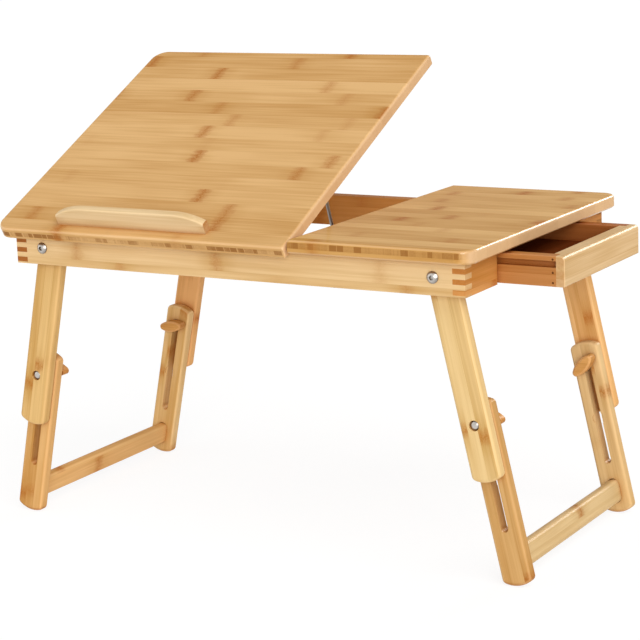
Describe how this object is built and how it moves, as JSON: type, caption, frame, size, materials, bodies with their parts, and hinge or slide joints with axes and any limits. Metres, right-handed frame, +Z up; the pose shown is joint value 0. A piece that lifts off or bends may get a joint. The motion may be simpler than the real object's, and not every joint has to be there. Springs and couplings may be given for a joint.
{
  "type": "laptop stand with drawer",
  "caption": "Folding bamboo lap desk for a laptop: a tilting panel with a book ledge on a wire prop, a fixed side top over a sliding drawer, and splayed legs that telescope and fold flat.",
  "frame": {"origin": "on the floor under the middle of the rest pose's bounding box, with the legs open and drawn out, the panel raised and the drawer part open", "axes": "+X along the top towards the drawer, +Y from the hinged front edge to the back, +Z up"},
  "size_m": [0.582, 0.318, 0.4325],
  "materials": {
    "board_bamboo": "clear satin lacquer on caramel bamboo plywood with long lamella strips",
    "frame_bamboo": "clear satin lacquer on caramel bamboo",
    "leg_bamboo": "clear satin lacquer on caramel bamboo, rounded arrises",
    "knob_bamboo": "clear satin lacquer on turned and sanded bamboo",
    "drawer_bamboo": "clear satin lacquer on caramel bamboo",
    "bottom_ply": "thin sanded bamboo ply",
    "bolt_steel": "nickel-plated steel",
    "hinge_steel": "zinc-plated sheet steel",
    "wire_steel": "nickel-plated steel wire",
    "pin_steel": "plain steel brad"
  },
  "bodies": {
    "frame": {"front_apron": "frame_bamboo", "back_apron": "frame_bamboo", "left_apron": "frame_bamboo", "right_front_end_block": "frame_bamboo", "right_back_end_block": "frame_bamboo", "fixed_top": "board_bamboo", "middle_rail": "frame_bamboo", "prop_rail": "frame_bamboo", "front_drawer_runner": "frame_bamboo", "back_drawer_runner": "frame_bamboo", "pivot_bolts": "bolt_steel", "pivot_washers": "bolt_steel", "pivot_nuts": "bolt_steel", "frame_hinge_leaves": "hinge_steel", "hinge_pins": "hinge_steel"},
    "panel": {"tilting_top": "board_bamboo", "book_ledge": "board_bamboo", "panel_hinge_leaves": "hinge_steel", "prop_clips": "hinge_steel"},
    "prop": {"wire_prop": "wire_steel"},
    "left_legs": {"left_front_upper_leg": "leg_bamboo", "left_back_upper_leg": "leg_bamboo", "left_clamp_bolts": "bolt_steel", "left_clamp_washers": "bolt_steel"},
    "left_leg_extension": {"left_front_lower_leg": "leg_bamboo", "left_back_lower_leg": "leg_bamboo", "left_stretcher": "leg_bamboo"},
    "left_front_knob": {"left_front_knob": "knob_bamboo"},
    "left_back_knob": {"left_back_knob": "knob_bamboo"},
    "right_legs": {"right_front_upper_leg": "leg_bamboo", "right_back_upper_leg": "leg_bamboo", "right_clamp_bolts": "bolt_steel", "right_clamp_washers": "bolt_steel"},
    "right_leg_extension": {"right_front_lower_leg": "leg_bamboo", "right_back_lower_leg": "leg_bamboo", "right_stretcher": "leg_bamboo"},
    "right_front_knob": {"right_front_knob": "knob_bamboo"},
    "right_back_knob": {"right_back_knob": "knob_bamboo"},
    "drawer": {"drawer_front": "drawer_bamboo", "drawer_front_side": "drawer_bamboo", "drawer_back_side": "drawer_bamboo", "drawer_back": "drawer_bamboo", "drawer_bottom": "bottom_ply", "drawer_pins": "pin_steel"}
  },
  "joints": [
    {"name": "panel_tilt", "type": "hinge", "parent": "frame", "child": "panel", "pos_m": [-0.09847, -0.1455, 0.28865], "axis": [1, 0, 0], "range_deg": [-26.3, 11.2]},
    {"name": "prop_fold", "type": "hinge", "parent": "panel", "child": "prop", "pos_m": [-0.09847, -0.06257, 0.32623], "axis": [1, 0, 0], "range_deg": [-41.24, 96.7]},
    {"name": "left_leg_fold", "type": "hinge", "parent": "frame", "child": "left_legs", "pos_m": [-0.21737, 0, 0.27375], "axis": [0, -1, 0], "range_deg": [0, 102.6]},
    {"name": "left_leg_height", "type": "slide", "parent": "left_legs", "child": "left_leg_extension", "axis": [0.2181, 0, 0.9759], "range_m": [0, 0.0948]},
    {"name": "left_front_knob_turn", "type": "hinge", "parent": "left_legs", "child": "left_front_knob", "pos_m": [-0.24631, -0.0995, 0.14428], "axis": [0, 1, 0], "range_deg": [0, 360]},
    {"name": "left_back_knob_turn", "type": "hinge", "parent": "left_legs", "child": "left_back_knob", "pos_m": [-0.24631, 0.0995, 0.14428], "axis": [0, -1, 0], "range_deg": [0, 360]},
    {"name": "right_leg_fold", "type": "hinge", "parent": "frame", "child": "right_legs", "pos_m": [0.19792, 0, 0.27375], "axis": [0, 1, 0], "range_deg": [0, 102.6]},
    {"name": "right_leg_height", "type": "slide", "parent": "right_legs", "child": "right_leg_extension", "axis": [-0.2181, 0, 0.9759], "range_m": [0, 0.0948]},
    {"name": "right_front_knob_turn", "type": "hinge", "parent": "right_legs", "child": "right_front_knob", "pos_m": [0.22686, -0.0995, 0.14428], "axis": [0, 1, 0], "range_deg": [0, 360]},
    {"name": "right_back_knob_turn", "type": "hinge", "parent": "right_legs", "child": "right_back_knob", "pos_m": [0.22686, 0.0995, 0.14428], "axis": [0, -1, 0], "range_deg": [0, 360]},
    {"name": "drawer_slide", "type": "slide", "parent": "frame", "child": "drawer", "axis": [1, 0, 0], "range_m": [-0.0625, 0.039]}
  ],
  "couplings": [
    {"joint": "prop_fold", "follows": "panel_tilt", "ratio": -3.673}
  ]
}
